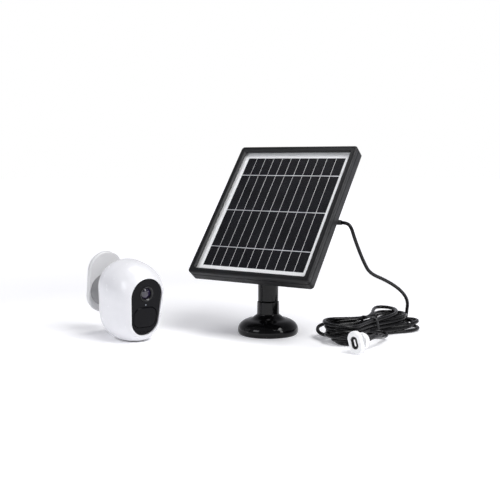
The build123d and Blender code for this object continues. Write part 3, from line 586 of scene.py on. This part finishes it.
def coated_lens():
    """The front element: nearly black, with a violet and green anti-reflection coat."""
    finish = Finish("lens_glass", Coat_Weight=1.0, Coat_Roughness=0.02)
    weight = finish.node("ShaderNodeLayerWeight")
    weight.inputs["Blend"].default_value = 0.35
    finish.colour(
        weight.outputs["Facing"],
        [(0.0, (0.012, 0.010, 0.022)), (0.45, (0.022, 0.014, 0.050)), (0.9, (0.008, 0.030, 0.028))],
    )
    finish.spread(finish.noise(300.0), 0.03, 0.07)
    finish.bump(finish.noise(90.0), 0.000006, 0.3)
    return finish.material


def jacket():
    """The cord's jacket: soft vinyl, semi-gloss, with faint drawn-on waves."""
    finish = Finish("cord", Specular_IOR_Level=0.3)
    finish.colour(finish.noise(110.0, 4.0), tones((0.0028, 0.0028, 0.0032), 0.25))
    finish.spread(finish.noise(300.0, 5.0), 0.2, 0.32)
    finish.bump(finish.noise(900.0, 3.0), 0.000012, 0.5)
    finish.bump(finish.noise(160.0, 1.0), 0.00003, 0.5)
    return finish.material


white_shell = (0.84, 0.84, 0.865)
finishes = {
    "frame_black": moulded(
        "frame_black",
        (0.0085, 0.0086, 0.0095),
        (0.34, 0.48),
        2200.0,
        0.00004,
        0.12,
        Specular_IOR_Level=0.3,
    ),
    "stand_black": glossy("stand_black", (0.003, 0.003, 0.0034), (0.07, 0.14), Specular_IOR_Level=0.26),
    "glass": clear_pane("glass", 0.1, shine_share=0.006),
    "cells": silicon(),
    "ribbon": metal("ribbon", (0.86, 0.87, 0.89), (0.4, 0.55), (60.0, 60.0, 600.0)),
    "backsheet": moulded("backsheet", (0.90, 0.905, 0.91), (0.5, 0.6), 1400.0, 0.00002, 0.02),
    "rubber": rubber("rubber", (0.018, 0.018, 0.019)),
    "grey_rubber": rubber("grey_rubber", (0.085, 0.085, 0.092)),
    "steel": metal("steel", (0.55, 0.55, 0.57)),
    "board": circuit_board(),
    "cord": jacket(),
    "plug_white": glossy("plug_white", (0.88, 0.885, 0.89), (0.16, 0.26)),
    "plug_black": moulded("plug_black", (0.012, 0.012, 0.013), (0.3, 0.4)),
    "contact": metal("contact", (0.72, 0.72, 0.73), (0.15, 0.25)),
    "shell_white": glossy(
        "shell_white", white_shell, (0.2, 0.28), Coat_Weight=0.12, Coat_Roughness=0.1
    ),
    "face_black": glossy("face_black", (0.0045, 0.0045, 0.006), (0.05, 0.09), Specular_IOR_Level=0.13),
    "lens_black": moulded("lens_black", (0.010, 0.010, 0.011), (0.22, 0.34)),
    "lens_glass": coated_lens(),
    "light_pipe": glossy("light_pipe", (0.5, 0.55, 0.62), (0.1, 0.2), Transmission_Weight=0.4),
    "inner_plastic": moulded("inner_plastic", (0.06, 0.06, 0.062), (0.4, 0.55)),
    "cell_wrap": moulded("cell_wrap", (0.045, 0.13, 0.36), (0.25, 0.35), 1200.0),
    "button_rubber": rubber("button_rubber", (0.55, 0.55, 0.57)),
    "dome_grey": moulded("dome_grey", (0.24, 0.24, 0.245), (0.35, 0.5), 1800.0),
    "dome_rubber": rubber("dome_rubber", (0.20, 0.20, 0.205), (0.42, 0.58)),
    "plate_white": moulded("plate_white", (0.72, 0.72, 0.725), (0.3, 0.42), 1700.0, 0.00003, 0.03),
    "foam": rubber("foam", (0.22, 0.22, 0.225), (0.8, 0.95), 900.0),
}

for name, node in nodes.items():
    for index in range(len(node.data.materials)):
        node.data.materials[index] = finishes[slots[name]]

# ---------------------------------------------------------------- cord and its tie

cord = new_piece(
    "charging_cord",
    swept_mesh("charging_cord", cord_line, round_section(cord_radius)),
    finishes["cord"],
    None,
)
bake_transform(cord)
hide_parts("cord_lead", "cord_hank", "cord_tail")


def bundle_outline(line, away):
    """The convex outline of the strands at the tie, as places round the bundle."""
    spots = set()
    for point in line:
        offset = point - hank_centre
        at_tie = abs(offset.dot(hank_along)) < 0.006 and point.z < 1.4 * tie_top
        if at_tie and abs(offset.dot(hank_aside)) < tie_half_width:
            for k in range(12):
                angle = 2 * math.pi * k / 12
                spots.add(
                    (
                        offset.dot(hank_aside) + away * math.cos(angle),
                        max(0.0009, offset.z + away * math.sin(angle)),
                    )
                )
    spots = sorted(spots)
    outline = []
    for ordered in (spots, spots[::-1]):
        chain = []
        for spot in ordered:
            while len(chain) > 1 and (
                (chain[-1][0] - chain[-2][0]) * (spot[1] - chain[-2][1])
                - (chain[-1][1] - chain[-2][1]) * (spot[0] - chain[-2][0])
            ) <= 0:
                chain.pop()
            chain.append(spot)
        outline += chain[:-1]
    return [hank_point(0.0, a, b) for a, b in outline]


def rounded(points, rounds):
    """Cuts the corners of a closed outline."""
    for _ in range(rounds):
        points = [
            a * share + b * (1 - share)
            for a, b in zip(points, points[1:] + points[:1])
            for share in (0.75, 0.25)
        ]
    return points


tie_section = [
    (0.0016, 0.0004),
    (0.0, 0.0006),
    (-0.0016, 0.0004),
    (-0.0016, -0.0004),
    (0.0, -0.0003),
    (0.0016, -0.0004),
]
tie_line = rounded(bundle_outline(cord_line, cord_radius + 0.0005), 2)
tie = new_piece(
    "tie_wrap",
    flat_loop("tie_wrap", tie_line, hank_along, tie_section),
    finishes["plug_black"],
    "stand",
)
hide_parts("hank_tie")

# ---------------------------------------------------------------- floor and light

floor_mesh = bpy.data.meshes.new("floor")
floor_mesh.from_pydata([(-8, -8, 0), (8, -8, 0), (8, 8, 0), (-8, 8, 0)], [], [(0, 1, 2, 3)])
floor = bpy.data.objects.new("floor", floor_mesh)
floor.location.z = cad_box[0][2]
bpy.context.scene.collection.objects.link(floor)
floor_finish = Finish("floor", Roughness=0.9)
floor_finish.colour(floor_finish.noise(3.0), [(0.3, (0.90, 0.90, 0.91)), (0.7, (0.92, 0.92, 0.925))])
floor_finish.shader.inputs["Emission Color"].default_value = (0.955, 0.955, 1, 1)
reach = floor_finish.node("ShaderNodeVectorMath", operation="LENGTH")
floor_finish.link(floor_finish.place, reach.inputs[0])
floor_finish.spread(reach.outputs["Value"], 0.22, 0.95, "Emission Strength", 0.45, 1.5)
floor_mesh.materials.append(floor_finish.material)


def softbox(name, place, target, size, power, colour=(1, 1, 1)):
    data = bpy.data.lights.new(name, "AREA")
    data.shape = "RECTANGLE"
    data.size, data.size_y = size
    data.energy = power
    data.color = colour
    lamp = bpy.data.objects.new(name, data)
    lamp.location = place
    aim = (Vector(target) - Vector(place)).to_track_quat("-Z", "Y")
    lamp.rotation_euler = aim.to_euler()
    bpy.context.scene.collection.objects.link(lamp)
    return lamp


softbox("key", (0.62, -0.55, 1.35), (0, 0, 0.05), (0.8, 0.8), 17.0)
softbox("overhead", (-0.15, 0.30, 1.5), (0, 0, 0.05), (0.7, 0.6), 5.5)
softbox("right_strip", (0.95, -0.75, 0.6), (0, 0, 0.06), (0.2, 0.8), 2.6)
softbox("left_box", (-0.95, -0.80, 0.62), (0, 0, 0.06), (0.50, 0.46), 3.0, (0.95, 0.97, 1.0))

world = bpy.data.worlds.new("studio")
bpy.context.scene.world = world
world.use_nodes = True
sky = world.node_tree
background = sky.nodes["Background"]
seen = sky.nodes.new("ShaderNodeBackground")
seen.inputs["Color"].default_value = (1, 1, 1, 1)
seen.inputs["Strength"].default_value = 1.0
direction = sky.nodes.new("ShaderNodeTexCoord")
split = sky.nodes.new("ShaderNodeSeparateXYZ")
height_ramp = sky.nodes.new("ShaderNodeValToRGB")
path = sky.nodes.new("ShaderNodeLightPath")
mix = sky.nodes.new("ShaderNodeMixShader")
front = sky.nodes.new("ShaderNodeMapRange")
front.inputs["From Min"].default_value = -0.9
front.inputs["From Max"].default_value = 0.3
front.inputs["To Min"].default_value = 0.35
front.inputs["To Max"].default_value = 1.0
sky.links.new(direction.outputs["Generated"], split.inputs["Vector"])
sky.links.new(split.outputs["Y"], front.inputs["Value"])
sky.links.new(front.outputs["Result"], background.inputs["Strength"])
sky.links.new(split.outputs["Z"], height_ramp.inputs["Fac"])
height_ramp.color_ramp.elements[0].position = 0.0
height_ramp.color_ramp.elements[0].color = (0.60, 0.60, 0.64, 1)
height_ramp.color_ramp.elements[1].position = 0.7
height_ramp.color_ramp.elements[1].color = (0.20, 0.20, 0.22, 1)
sky.links.new(height_ramp.outputs["Color"], background.inputs["Color"])
sky.links.new(path.outputs["Is Camera Ray"], mix.inputs["Fac"])
sky.links.new(background.outputs["Background"], mix.inputs[1])
sky.links.new(seen.outputs["Background"], mix.inputs[2])
sky.links.new(mix.outputs["Shader"], sky.nodes["World Output"].inputs["Surface"])

bpy.context.scene.view_settings.view_transform = "Standard"
